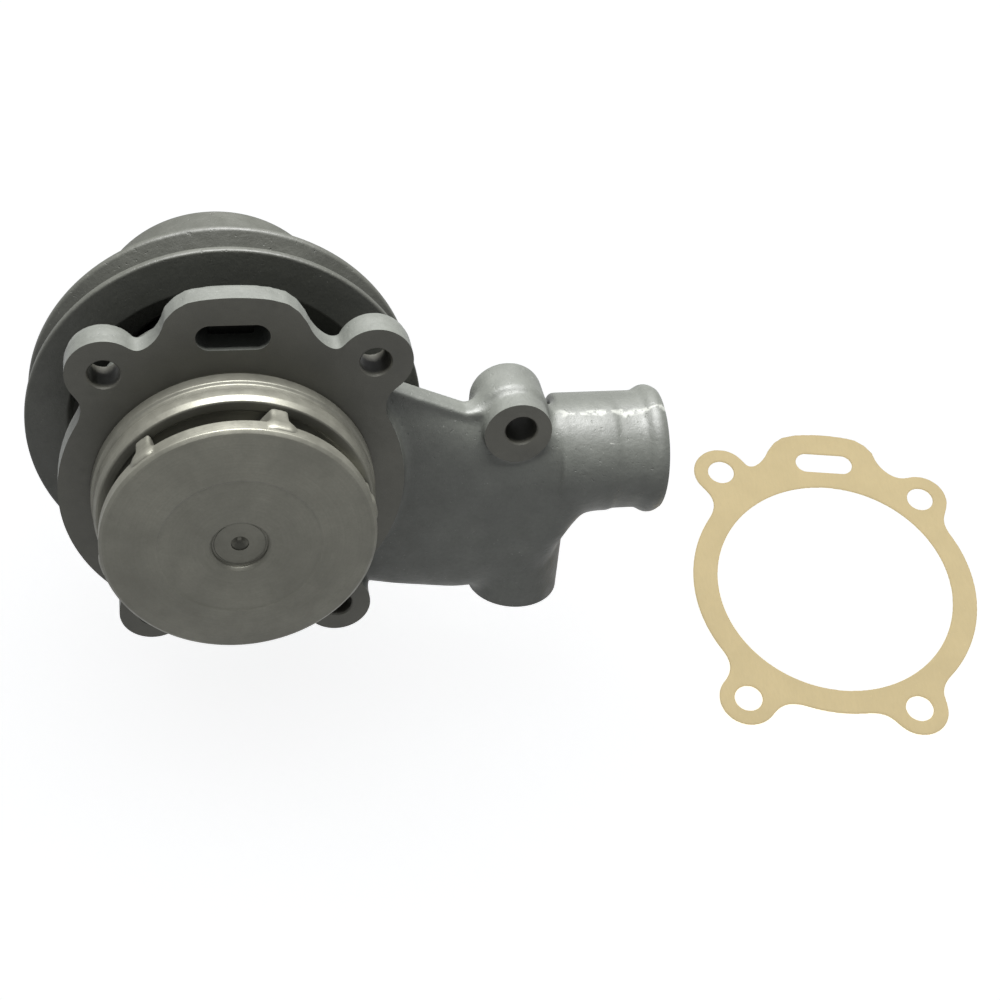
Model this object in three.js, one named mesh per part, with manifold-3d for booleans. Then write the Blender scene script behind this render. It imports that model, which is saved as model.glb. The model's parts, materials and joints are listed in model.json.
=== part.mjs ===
// Engine coolant pump with a V-belt pulley and its loose joint gasket.
// Millimetres, +Z up. The origin is on the shaft's axis, in the plane of the mounting flange's face.
// The shaft runs along Y: the engine, with the impeller, is on the -Y side and the pulley on the +Y side.
// The hose neck points along +X, and the by-pass slot is at the top of the flange.
import * as THREE from "three";
import { mergeVertices } from "three/addons/utils/BufferGeometryUtils.js";
import Module from "manifold-3d";

const wasm = await Module();
wasm.setup();

// ---------------------------------------------------------------- driving dimensions
const FIT_GAP = 0.25; // radial and end gap that touching pieces keep
const ROUND = 40; // facets round a large turned piece
const FINE = 24; // facets round a small one

const FLANGE_RADIUS = 61.5;
const FLANGE_THICKNESS = 9.5;
const LUG_THICKNESS = 13;
const LUG_RADIUS = 12.8;
const BOLT_HOLE_RADIUS = 5.4;
// Bolt holes: x and z of each centre.
const BOLTS = {
  upper_left: [-43, 50.2],
  upper_right: [48.6, 52],
  lower_right: [39, -57],
  lower_left: [-31, -56.5],
};
const BAND_RADIUS = 67.5; // edge of the flange between the two upper lugs
const SHOULDER_RADIUS = 79; // edge of the flange above the by-pass slot
const SHOULDER_ANGLE = 13; // degrees each side of the top
const SLOT = { z: 63.2, halfLength: 12.7, halfHeight: 5 };
const SLOT_DEPTH = 17;

const SPIGOT_RADIUS = 50;
const SPIGOT_LENGTH = 15.1;
const EYE_RADIUS = 31; // inlet to the impeller through the spigot

const CHAMBER_RADIUS = 52; // suction chamber round the shaft
const CHAMBER_BACK = 40;
const WALL = 5;
const NECK = { y: 20, z: -4, radius: 22.25, bore: 18, start: 126, end: 160 };
const NECK_BEAD = { radius: 23.8, width: 5 };
const EAR = { x: 102, z: 17, radius: 12.5, hole: 6, wall: 3.5, front: 2.5, back: 29 };
const BOSS = { x: 111, y: 20, radius: 17, bottom: -65.5, top: -40 };

const IMPELLER_RADIUS = 47.5;
const DISC_BACK = -24.6;
const DISC_RIM = -31;
const DISC_CROWN = -33.3;
const HUB_RADIUS = 13.5;
const HUB_END = 12;
const VANES = 6;
const FIRST_VANE_ANGLE = 17.8; // degrees clockwise from the top, seen from the engine
const VANE_THICKNESS = 6;
const VANE_TIP_Y = -15.9;

const SHAFT_RADIUS = 10;
const SHAFT_END_RADIUS = 8.8; // at the impeller and at the pulley
const SHAFT_START = -31;
const THREAD_RADIUS = 7.8;
const SHAFT_STOP = 116.5;

const HOUSING_RADIUS = 29; // outside of the bearing housing
const HOUSING_END = 95;
const SEAL_SEAT = { radius: 20.4, from: 5, to: 46 };
const SLINGER_SPACE = { radius: 14, from: 40, to: 52 };
const BEARING_SEAT_START = 50;
const CIRCLIP_GROOVE = { radius: 24.8, from: 91.1, to: 93.2 };
const WEEP_HOLE = { radius: 2.5, y: 48 };
const BEARING = { bore: 10, outside: 23.5, width: 14, pitch: 16.75, ball: 3.97, balls: 8 };
const SEAL_SPRING = { turns: 3.5, from: 25.4, to: 42.6, radius: 16.9, wireRadius: 0.8 };
const REAR_BEARING_Y = 62;
const FRONT_BEARING_Y = 84;

const RIM_RADIUS = 73.3;
const RIM_BACK = 41.2;
const RIM_FRONT = 61.4;
const DRUM_RADIUS = 47.5;
const DRUM_INNER = 39;
const PULLEY_FRONT = 117;
const NUT_POCKET_RADIUS = 17;
const FAN_BOLTS = { count: 4, circle: 31, radius: 4.2 };

const GASKET = { hole: 50.5, thickness: 1, centre: [255.6, 32.7, -90], tilt: 18.5, turn: -10 };

// ---------------------------------------------------------------- helpers
const degrees = THREE.MathUtils.degToRad;

// A closed geometry as a solid whose faces point out.
function solid(geometry) {
  const bare = new THREE.BufferGeometry();
  const plain = geometry.index ? geometry.toNonIndexed() : geometry;
  bare.setAttribute("position", plain.getAttribute("position").clone());
  const merged = mergeVertices(bare, 1e-3);
  const points = merged.attributes.position.array;
  const corner = (i) => new THREE.Vector3().fromArray(points, 3 * i);
  const faces = [];
  let volume = 0;
  for (let i = 0; i < merged.index.count; i += 3) {
    const [a, b, c] = [0, 1, 2].map((k) => merged.index.array[i + k]);
    if (a === b || b === c || c === a) continue;
    faces.push([a, b, c]);
    volume += corner(a).dot(corner(b).cross(corner(c)));
  }
  const triVerts = new Uint32Array(faces.flatMap(([a, b, c]) => (volume > 0 ? [a, b, c] : [a, c, b])));
  return new wasm.Manifold(new wasm.Mesh({ numProp: 3, vertProperties: new Float32Array(points), triVerts }));
}

function geometryOf(body) {
  const mesh = body.getMesh();
  const geometry = new THREE.BufferGeometry();
  geometry.setAttribute("position", new THREE.BufferAttribute(new Float32Array(mesh.vertProperties), 3));
  geometry.setIndex(new THREE.BufferAttribute(new Uint32Array(mesh.triVerts), 1));
  const flat = geometry.toNonIndexed();
  flat.computeVertexNormals();
  return flat;
}

function union(bodies) {
  return bodies.reduce((sum, body) => sum.add(body));
}

function cut(body, tools) {
  return tools.reduce((rest, tool) => rest.subtract(tool), body);
}

// A piece turned about the Y axis, from the corners [radius, y] of its half section.
function turned(section, facets = ROUND) {
  const points = [...section, section[0]].map(([r, y]) => new THREE.Vector2(r, y));
  return solid(new THREE.LatheGeometry(points, facets));
}

// A washer-like ring about the Y axis.
function ring(inner, outer, from, to, facets = FINE) {
  return turned([[inner, from], [outer, from], [outer, to], [inner, to]], facets);
}

// A round bar along Y.
function bar(x, z, radius, from, to, facets = FINE) {
  const geometry = new THREE.CylinderGeometry(radius, radius, to - from, facets);
  return solid(geometry.translate(x, (from + to) / 2, z));
}

// An outline in x and z, made solid from one y to another.
function plate(shape, from, to, curveSegments = 12) {
  const geometry = new THREE.ExtrudeGeometry(shape, { depth: to - from, bevelEnabled: false, curveSegments });
  return solid(geometry.rotateX(Math.PI / 2).translate(0, to, 0));
}

// A box from its low and high corners.
function block(low, high) {
  const size = high.map((value, i) => value - low[i]);
  const centre = high.map((value, i) => (value + low[i]) / 2);
  return solid(new THREE.BoxGeometry(...size).translate(...centre));
}

function polygon(points) {
  return new THREE.Shape(points.map(([x, z]) => new THREE.Vector2(x, z)));
}

// A slot with round ends, lying along x.
function slotShape(x, z, halfLength, halfHeight) {
  const shape = new THREE.Shape();
  const reach = halfLength - halfHeight;
  shape.absarc(x + reach, z, halfHeight, -Math.PI / 2, Math.PI / 2, false);
  shape.absarc(x - reach, z, halfHeight, Math.PI / 2, (3 * Math.PI) / 2, false);
  return shape;
}

// A body with a rounded-box section that changes along x.
// Each station gives x, the section's centre y and z, its half sizes, and how square it is (2 is an ellipse).
function lofted(stations, facets = FINE) {
  const positions = [];
  const rings = stations.map(({ x, y, z, halfY, halfZ, square }) =>
    Array.from({ length: facets }, (_, i) => {
      const angle = (2 * Math.PI * i) / facets;
      const power = (value) => Math.sign(value) * Math.abs(value) ** (2 / square);
      return [x, y + halfY * power(Math.cos(angle)), z + halfZ * power(Math.sin(angle))];
    }),
  );
  const quad = (a, b, c, d) => positions.push(...a, ...b, ...c, ...a, ...c, ...d);
  for (let s = 0; s + 1 < rings.length; s++)
    for (let i = 0; i < facets; i++) {
      const j = (i + 1) % facets;
      quad(rings[s][i], rings[s][j], rings[s + 1][j], rings[s + 1][i]);
    }
  const cap = (loop, station, flip) => {
    const middle = [station.x, station.y, station.z];
    loop.forEach((point, i) => {
      const next = loop[(i + 1) % facets];
      positions.push(...middle, ...(flip ? next : point), ...(flip ? point : next));
    });
  };
  cap(rings[0], stations[0], true);
  cap(rings.at(-1), stations.at(-1), false);
  const geometry = new THREE.BufferGeometry();
  geometry.setAttribute("position", new THREE.Float32BufferAttribute(positions, 3));
  return solid(geometry);
}

// ---------------------------------------------------------------- flange outline, shared with the gasket
// x and z on a circle about the shaft, at an angle clockwise from the top.
function onCircle(radius, angle) {
  return [radius * Math.sin(degrees(angle)), radius * Math.cos(degrees(angle))];
}

// Points along such a circle, both ends included.
function arc(radius, fromAngle, toAngle, steps = 10) {
  const step = (toAngle - fromAngle) / steps;
  return Array.from({ length: steps + 1 }, (_, i) => onCircle(radius, fromAngle + step * i));
}

// The raised shoulder above the by-pass slot, with its corners eased.
function shoulderShape() {
  const top = arc(SHOULDER_RADIUS, -SHOULDER_ANGLE, SHOULDER_ANGLE);
  return polygon([[-26, 58], [-21.5, 71], ...top, [23, 71], [28.5, 58]]);
}

// A lug's outline: a bar from the shaft's side out to the bolt, as wide as the lug.
function lugRoot([x, z], radius) {
  const length = Math.hypot(x, z);
  const side = [(-z / length) * radius, (x / length) * radius];
  return polygon([
    [x + side[0], z + side[1]],
    [x - side[0], z - side[1]],
    [x / 2 - side[0], z / 2 - side[1]],
    [x / 2 + side[0], z / 2 + side[1]],
  ]);
}

function flangeOutline(from, to, grow = 0) {
  const lugRadius = LUG_RADIUS + grow;
  const [leftBolt, rightBolt] = [BOLTS.upper_left, BOLTS.upper_right].map(
    ([x, z]) => THREE.MathUtils.radToDeg(Math.atan2(x, z)),
  );
  const parts = [
    bar(0, 0, FLANGE_RADIUS + grow, from, to, 56),
    plate(polygon([[0, 0], ...arc(BAND_RADIUS, leftBolt, rightBolt)]), from, to),
    plate(shoulderShape(), from, to),
  ];
  for (const bolt of Object.values(BOLTS)) {
    parts.push(bar(...bolt, lugRadius, from, to, 24));
    parts.push(plate(lugRoot(bolt, lugRadius), from, to));
  }
  return union(parts);
}

function boltHoles(from, to, radius) {
  return Object.values(BOLTS).map((bolt) => bar(...bolt, radius, from, to, 24));
}

function bypassSlot(from, to) {
  return plate(slotShape(0, SLOT.z, SLOT.halfLength, SLOT.halfHeight), from, to, 8);
}

// ---------------------------------------------------------------- pump body
// The suction chamber, from the shaft to the hose neck.
// inset is the wall to take off for its hollow.
function chamberRun(inset) {
  const stations = [
    { x: 10, y: 24.5, z: -14, halfY: 15.5, halfZ: 38, square: 3.5 },
    { x: 40, y: 23, z: -14, halfY: 17, halfZ: 46.5, square: 4 },
    { x: 62, y: 22, z: -15, halfY: 19, halfZ: 48, square: 4 },
    { x: 85, y: 21, z: -20, halfY: 20, halfZ: 44, square: 3.6 },
    { x: 105, y: 20.5, z: -20.5, halfY: 20.5, halfZ: 41.5, square: 3.2 },
    { x: 117, y: 20, z: -19, halfY: 21, halfZ: 38, square: 2.8 },
    { x: 126, y: 20, z: -13.5, halfY: 21.7, halfZ: 31.7, square: 2.3 },
    { x: 133, y: NECK.y, z: -7, halfY: 22.1, halfZ: 25.2, square: 2.1 },
    { x: 139, y: NECK.y, z: NECK.z, halfY: NECK.radius, halfZ: NECK.radius, square: 2 },
  ];
  return lofted(
    stations.map((s) => ({ ...s, halfY: s.halfY - inset, halfZ: s.halfZ - inset })),
  );
}

// Turned about X instead of Y, at the neck's height and depth.
function aboutNeck(section) {
  const points = [...section, section[0]].map(([r, x]) => new THREE.Vector2(r, x));
  const geometry = new THREE.LatheGeometry(points, FINE).rotateZ(-Math.PI / 2);
  return solid(geometry.translate(0, NECK.y, NECK.z));
}

function hoseNeck() {
  const { radius, start, end } = NECK;
  return aboutNeck([
    [0, start],
    [radius, start],
    [radius, end - NECK_BEAD.width - 3],
    [NECK_BEAD.radius, end - NECK_BEAD.width],
    [NECK_BEAD.radius, end - 1.5],
    [radius, end],
    [0, end],
  ]);
}

// Everything cut out along the shaft: inlet eye, seal seat, slinger space and bearing bore.
function shaftCuts() {
  const hole = (radius, from, to) => bar(0, 0, radius, from, to, ROUND);
  return [
    hole(EYE_RADIUS, -SPIGOT_LENGTH - 5, 12),
    hole(SEAL_SEAT.radius, SEAL_SEAT.from, SEAL_SEAT.to),
    hole(SLINGER_SPACE.radius, SLINGER_SPACE.from, SLINGER_SPACE.to),
    hole(BEARING.outside + FIT_GAP, BEARING_SEAT_START, HOUSING_END + 5),
    hole(CIRCLIP_GROOVE.radius, CIRCLIP_GROOVE.from, CIRCLIP_GROOVE.to),
  ];
}

function spigot() {
  return turned([
    [EYE_RADIUS - 1, 4],
    [SPIGOT_RADIUS, 4],
    [SPIGOT_RADIUS, -4.5],
    [SPIGOT_RADIUS - 1.2, -7],
    [SPIGOT_RADIUS - 1.2, -SPIGOT_LENGTH + 1.5],
    [SPIGOT_RADIUS - 2.6, -SPIGOT_LENGTH],
    [EYE_RADIUS - 1, -SPIGOT_LENGTH],
  ]);
}

// Thin rib along the chamber's top, from the flange to the bolt ear.
function topRib() {
  return plate(polygon([[52, 20], [52, 36.5], [62, 33], [84, 23], [104, 24], [104, 8]]), 9, 18);
}

// The hump that leads the by-pass slot down into the chamber.
function bypassHump() {
  return plate(polygon([[-19, 40], [-19, 62], [-13, 69], [13, 69], [19, 62], [19, 40]]), 5, 21);
}

function pumpBody() {
  const outside = union([
    flangeOutline(0, FLANGE_THICKNESS),
    ...Object.values(BOLTS).map((bolt) => bar(...bolt, LUG_RADIUS, 0, LUG_THICKNESS, 24)),
    bar(0, 0, CHAMBER_RADIUS, 4, CHAMBER_BACK, ROUND),
    bar(0, 0, HOUSING_RADIUS, CHAMBER_BACK - 8, HOUSING_END, ROUND),
    chamberRun(0),
    hoseNeck(),
    topRib(),
    bypassHump(),
    bar(EAR.x, EAR.z, EAR.radius, EAR.front, EAR.back),
    solid(
      new THREE.CylinderGeometry(BOSS.radius, BOSS.radius, BOSS.top - BOSS.bottom, FINE)
        .rotateX(Math.PI / 2)
        .translate(BOSS.x, BOSS.y, (BOSS.top + BOSS.bottom) / 2),
    ),
  ]);
  const hollowBack = CHAMBER_BACK - WALL;
  const chamberHollow = turned([
    [0, FLANGE_THICKNESS],
    [CHAMBER_RADIUS - WALL, FLANGE_THICKNESS],
    [CHAMBER_RADIUS - WALL, hollowBack],
    [HOUSING_RADIUS - 1, hollowBack],
    [HOUSING_RADIUS - 3, hollowBack - 7],
    [0, hollowBack - 7],
  ]);
  const neckHollow = aboutNeck([[0, 120], [NECK.bore, 120], [NECK.bore, 170], [0, 170]]);
  const slotRun = union([
    bypassSlot(-1, SLOT_DEPTH),
    block([-8, FLANGE_THICKNESS + 1, 40], [8, SLOT_DEPTH, SLOT.z]),
  ]);
  const runHollow = chamberRun(WALL).subtract(block([-60, 0, -90], [30, 80, 90]));
  // The ear's bolt hole keeps its own wall where it passes the hollow.
  const earWall = bar(EAR.x, EAR.z, EAR.hole + EAR.wall, 0, EAR.back + CHAMBER_BACK);
  const hollow = union([chamberHollow, runHollow, neckHollow]).subtract(earWall);
  // The boss for the seal and the bearings stays inside the chamber's hollow.
  const kept = turned([
    [0, hollowBack - 8],
    [HOUSING_RADIUS - 3, hollowBack - 8],
    [HOUSING_RADIUS - 1, hollowBack],
    [HOUSING_RADIUS - 1, CHAMBER_BACK + 5],
    [0, CHAMBER_BACK + 5],
  ]);
  const weepHole = solid(
    new THREE.CylinderGeometry(WEEP_HOLE.radius, WEEP_HOLE.radius, HOUSING_RADIUS, 12)
      .rotateX(Math.PI / 2)
      .translate(0, WEEP_HOLE.y, -HOUSING_RADIUS),
  );
  return cut(outside.subtract(hollow.subtract(kept)).add(spigot()), [
    ...shaftCuts(),
    ...boltHoles(-1, LUG_THICKNESS + 1, BOLT_HOLE_RADIUS),
    bar(EAR.x, EAR.z, EAR.hole, EAR.front - 1, 60),
    slotRun,
    weepHole,
  ]);
}

// ---------------------------------------------------------------- impeller
// One vane's outline, bent back from the tip towards the hub.
function vaneShape() {
  const [inner, outer] = [HUB_RADIUS - 1, IMPELLER_RADIUS - 0.3];
  const sweep = -38; // degrees that the inner end leads the tip
  const steps = 6;
  const side = (offset) =>
    Array.from({ length: steps + 1 }, (_, i) => {
      const t = i / steps;
      const radius = inner + (outer - inner) * t;
      const half = (offset * VANE_THICKNESS * (0.65 + 0.35 * t)) / 2;
      const angle = sweep * (1 - t) ** 1.4 + THREE.MathUtils.radToDeg(half / radius);
      return onCircle(radius, FIRST_VANE_ANGLE + angle);
    });
  return polygon([...side(-1), ...side(1).reverse()]);
}

function impeller() {
  const disc = turned([
    [SHAFT_END_RADIUS + FIT_GAP, SHAFT_START],
    [9.8, SHAFT_START],
    [9.8, DISC_CROWN + 1.1],
    [11, DISC_CROWN],
    [27.8, DISC_CROWN + 0.4],
    [28.3, DISC_CROWN],
    [IMPELLER_RADIUS - 0.7, DISC_RIM],
    [IMPELLER_RADIUS, DISC_RIM + 0.7],
    [IMPELLER_RADIUS, DISC_BACK],
    [17, DISC_BACK],
    [HUB_RADIUS, DISC_BACK + 4],
    [HUB_RADIUS, HUB_END],
    [SHAFT_END_RADIUS + FIT_GAP, HUB_END],
  ]);
  const vane = plate(vaneShape(), DISC_BACK - 0.5, VANE_TIP_Y);
  const vanes = Array.from({ length: VANES }, (_, i) => vane.rotate([0, (360 / VANES) * i, 0]));
  const bore = bar(0, 0, SHAFT_END_RADIUS + FIT_GAP, SHAFT_START - 0.01, HUB_END + 1, ROUND);
  return union([disc, ...vanes]).subtract(bore);
}

// ---------------------------------------------------------------- shaft and pulley
const KEY = { halfWidth: 2.5, bottom: 6.2, top: 11, from: 94, to: 102.5 };

function keyBlock(grow) {
  const { halfWidth, bottom, top, from, to } = KEY;
  return block([-halfWidth - grow, from - grow, bottom - grow], [halfWidth + grow, to + grow, top + grow]);
}

function driveShaft() {
  const body = turned([
    [0, SHAFT_START + 5],
    [3, SHAFT_START],
    [SHAFT_END_RADIUS, SHAFT_START],
    [SHAFT_END_RADIUS, 22],
    [SHAFT_RADIUS, 23],
    [SHAFT_RADIUS, 90.8],
    [SHAFT_END_RADIUS, 91.1],
    [SHAFT_END_RADIUS, 104],
    [THREAD_RADIUS, 104.5],
    [THREAD_RADIUS, SHAFT_STOP - 1],
    [THREAD_RADIUS - 1, SHAFT_STOP],
    [0, SHAFT_STOP],
  ]);
  return body.subtract(keyBlock(FIT_GAP));
}

function pulley() {
  const bore = SHAFT_END_RADIUS + FIT_GAP;
  const body = turned(
    [
      [bore, 91.4],
      [13, 91.4],
      [13, 96.5],
      [19, 97.5],
      [32, 103],
      [37, 101],
      [DRUM_INNER, 96],
      [DRUM_INNER + 1, 64],
      [46, 53],
      [56, 47],
      [57, RIM_BACK],
      [RIM_RADIUS, RIM_BACK],
      [RIM_RADIUS, 44.4],
      [61, 49.4],
      [61, 53.7],
      [RIM_RADIUS - 1, 58.7],
      [RIM_RADIUS - 1, RIM_FRONT],
      [66, RIM_FRONT],
      [60, 60.5],
      [51, 67],
      [DRUM_RADIUS, 74],
      [DRUM_RADIUS, PULLEY_FRONT - 1.5],
      [DRUM_RADIUS - 1.5, PULLEY_FRONT],
      [NUT_POCKET_RADIUS, PULLEY_FRONT],
      [NUT_POCKET_RADIUS, 104],
      [bore, 104],
    ],
    48,
  );
  const fanHoles = Array.from({ length: FAN_BOLTS.count }, (_, i) => {
    const [x, z] = onCircle(FAN_BOLTS.circle, 45 + (360 / FAN_BOLTS.count) * i);
    return bar(x, z, FAN_BOLTS.radius, 95, PULLEY_FRONT + 1, 16);
  });
  return cut(body, [keyBlock(FIT_GAP), ...fanHoles]);
}

function pulleyNut() {
  const cornerRadius = 13.8;
  const hexagon = bar(0, 0, cornerRadius, 106.65, 114.15, 6);
  const collar = bar(0, 0, 10.5, 114, 116.2, FINE);
  return union([hexagon, collar]).subtract(bar(0, 0, THREAD_RADIUS + FIT_GAP, 100, 120));
}

// ---------------------------------------------------------------- bearings
// Half section of a race, whose ball groove opens on the side that faces the balls.
function raceSection(back, front, middle) {
  const { width, pitch, ball } = BEARING;
  const groove = ball + FIT_GAP;
  const half = Math.acos(Math.abs(pitch - front) / groove);
  const towards = Math.sign(front - pitch);
  const steps = 6;
  const ballGroove = Array.from({ length: steps + 1 }, (_, i) => {
    const angle = -half + (2 * half * i) / steps;
    return [pitch + towards * groove * Math.cos(angle), middle + groove * Math.sin(angle)];
  });
  const [low, high] = [middle - width / 2, middle + width / 2];
  return [[back, low], [front, low], ...ballGroove, [front, high], [back, high]];
}

function ballPlace(middle, index) {
  const [x, z] = onCircle(BEARING.pitch, (360 / BEARING.balls) * (index + 0.5));
  return [x, middle, z];
}

function bearingBall(middle, index) {
  return solid(new THREE.SphereGeometry(BEARING.ball - 0.02, 9, 6).translate(...ballPlace(middle, index)));
}

function bearingCage(middle) {
  const pockets = Array.from({ length: BEARING.balls }, (_, i) =>
    solid(new THREE.SphereGeometry(BEARING.ball + 2 * FIT_GAP, 8, 5).translate(...ballPlace(middle, i))),
  );
  return cut(ring(BEARING.pitch - 1.1, BEARING.pitch + 1.1, middle - 5.3, middle + 5.3), pockets);
}

function circlip() {
  const band = ring(20.5, CIRCLIP_GROOVE.radius - 0.3, CIRCLIP_GROOVE.from + 0.3, CIRCLIP_GROOVE.to - 0.3);
  return band.subtract(block([-4, 90, -30], [4, 95, -10]));
}

// ---------------------------------------------------------------- water seal
function sealCase() {
  const outside = SEAL_SEAT.radius - 0.3;
  return turned([[13.5, 44.5], [13.5, 43.5], [18.8, 43.5], [18.8, 24], [outside, 24], [outside, 44.5]], FINE);
}

function sealSpring() {
  const { turns, from, to, radius, wireRadius } = SEAL_SPRING;
  class Helix extends THREE.Curve {
    getPoint(t, target = new THREE.Vector3()) {
      const angle = 2 * Math.PI * turns * t;
      return target.set(radius * Math.sin(angle), from + (to - from) * t, radius * Math.cos(angle));
    }
  }
  const wire = new THREE.Shape().absarc(0, 0, wireRadius, 0, 2 * Math.PI, false);
  const options = { steps: 56, curveSegments: 3, extrudePath: new Helix(), bevelEnabled: false };
  return solid(new THREE.ExtrudeGeometry(wire, options));
}

function sealBellows() {
  const fold = [[13.2, 24], [15.2, 29], [12.9, 34]];
  return turned([[11, 22.8], [17.8, 22.8], [17.8, 24], ...fold, [13, 43.2], [11, 43.2]], FINE);
}

// ---------------------------------------------------------------- gasket
// The gasket lies turned over, so its outline is the flange's mirrored in x.
function gasket() {
  const sheet = cut(flangeOutline(0, GASKET.thickness, 0.6), [
    bar(0, 0, GASKET.hole, -1, 2, 56),
    bypassSlot(-1, 2),
    ...boltHoles(-1, 2, BOLT_HOLE_RADIUS + 0.3),
  ]);
  return sheet.mirror([1, 0, 0]);
}

// ---------------------------------------------------------------- assembly
const LOOKS = {
  casting: { color: 0x6f716b, roughness: 0.55, metalness: 0.25 },
  machined: { color: 0x55554b, roughness: 0.35, metalness: 0.7 },
  steel: { color: 0x8e9092, roughness: 0.3, metalness: 0.9 },
  brass: { color: 0xa8853f, roughness: 0.35, metalness: 0.8 },
  carbon: { color: 0x222222, roughness: 0.6, metalness: 0.1 },
  ceramic: { color: 0xe6e2d8, roughness: 0.3, metalness: 0 },
  rubber: { color: 0x161616, roughness: 0.8, metalness: 0 },
  felt: { color: 0xb9b09a, roughness: 0.95, metalness: 0 },
  paper: { color: 0xe1d1ae, roughness: 0.85, metalness: 0 },
};

const pump = new THREE.Group();

function piece(name, body, look, parent = pump) {
  const mesh = new THREE.Mesh(geometryOf(body), new THREE.MeshStandardMaterial(LOOKS[look]));
  mesh.name = name;
  parent.add(mesh);
  return mesh;
}

piece("pump_body", pumpBody(), "casting");
piece("impeller", impeller(), "machined");
piece("drive_shaft", driveShaft(), "steel");
piece("shaft_key", keyBlock(0), "steel");
piece("pulley", pulley(), "casting");
piece("pulley_washer", ring(THREAD_RADIUS + FIT_GAP, 14, 104.4, 106.4), "steel");
piece("pulley_nut", pulleyNut(), "steel");

for (const [place, middle] of [["rear", REAR_BEARING_Y], ["front", FRONT_BEARING_Y]]) {
  const { bore, outside, balls } = BEARING;
  piece(`${place}_bearing_inner_race`, turned(raceSection(bore + FIT_GAP, 14.3, middle), FINE), "steel");
  piece(`${place}_bearing_outer_race`, turned(raceSection(outside, 19.2, middle), FINE), "steel");
  piece(`${place}_bearing_cage`, bearingCage(middle), "brass");
  for (let i = 0; i < balls; i++) piece(`${place}_bearing_ball_${i + 1}`, bearingBall(middle, i), "steel");
}
piece("outer_distance_piece", ring(20.4, BEARING.outside, 69.3, 76.7), "steel");
piece("inner_distance_piece", ring(BEARING.bore + FIT_GAP, 13.2, 69.3, 76.7), "steel");
piece("bearing_circlip", circlip(), "steel");

piece("felt_seal", ring(11, 23, 50.4, 53.4), "felt");
piece("felt_seal_retainer", ring(12, 23.3, 53.7, 54.7), "steel");
piece("water_slinger", ring(SHAFT_RADIUS + FIT_GAP, 12.8, 45.2, 49.2), "brass");
piece("seal_case", sealCase(), "brass");
piece("seal_spring", sealSpring(), "steel");
piece("seal_bellows", sealBellows(), "rubber");
piece("seal_carbon_face", ring(11.6, 16, 17.8, 22.5), "carbon");
piece("seal_ceramic_seat", ring(11.1, 17, 12.4, 17.5), "ceramic");
piece("seal_seat_boot", ring(SHAFT_END_RADIUS + 0.3, 10.8, 12.4, 17.5), "rubber");

const loosePart = new THREE.Group();
loosePart.position.set(...GASKET.centre);
loosePart.rotation.set(degrees(GASKET.tilt), 0, degrees(GASKET.turn), "ZXY");
pump.add(loosePart);
const sheet = piece("mounting_gasket", gasket(), "paper", loosePart);
sheet.rotation.x = -Math.PI / 2; // from standing in the flange's plane to lying down
sheet.rotation.order = "XYZ";

export default pump;
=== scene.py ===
"""Visual model of an engine coolant pump, with its belt pulley and a loose joint gasket.

Row frame: the origin is on the shaft's axis in the flange's face, +X points towards the hose neck,
+Y from the engine towards the pulley, +Z up. Sizes below are millimetres unless a name says otherwise.
"""

import json
import math

import bmesh
import bpy
import numpy as np
import openvdb
from mathutils import Matrix, Vector


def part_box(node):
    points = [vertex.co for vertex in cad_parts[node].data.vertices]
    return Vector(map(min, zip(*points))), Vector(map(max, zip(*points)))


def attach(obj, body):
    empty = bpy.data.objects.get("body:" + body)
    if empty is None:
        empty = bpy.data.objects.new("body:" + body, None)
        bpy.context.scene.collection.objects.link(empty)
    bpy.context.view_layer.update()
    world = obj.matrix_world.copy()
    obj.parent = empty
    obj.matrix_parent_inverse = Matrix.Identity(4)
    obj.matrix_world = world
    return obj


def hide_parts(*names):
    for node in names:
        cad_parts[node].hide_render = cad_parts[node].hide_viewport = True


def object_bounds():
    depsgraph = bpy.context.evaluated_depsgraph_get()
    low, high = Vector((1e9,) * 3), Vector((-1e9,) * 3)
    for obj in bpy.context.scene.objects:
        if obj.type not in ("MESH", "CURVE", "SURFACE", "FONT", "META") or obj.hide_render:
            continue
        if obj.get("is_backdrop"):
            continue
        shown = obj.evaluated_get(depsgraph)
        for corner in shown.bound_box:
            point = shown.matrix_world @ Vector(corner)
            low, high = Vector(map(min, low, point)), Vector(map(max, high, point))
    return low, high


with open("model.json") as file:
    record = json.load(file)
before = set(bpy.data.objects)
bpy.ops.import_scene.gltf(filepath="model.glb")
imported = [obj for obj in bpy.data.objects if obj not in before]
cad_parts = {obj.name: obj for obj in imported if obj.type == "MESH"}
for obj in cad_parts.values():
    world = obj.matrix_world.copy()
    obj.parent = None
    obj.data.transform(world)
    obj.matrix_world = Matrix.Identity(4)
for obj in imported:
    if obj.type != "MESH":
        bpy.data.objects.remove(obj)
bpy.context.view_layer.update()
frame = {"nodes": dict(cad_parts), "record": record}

MM = 0.001


def millimetres(node):
    """A CAD node's lowest and highest corners."""
    return [[value / MM for value in corner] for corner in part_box(node)]


# ---------------------------------------------------------------- camera
CAMERA_PLACE = (-32.64, -523.91, 400.04)
CAMERA_HEADING = math.radians(13.93)
CAMERA_PITCH = math.radians(37.25)
CAMERA_ROLL = math.radians(5.98)


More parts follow.
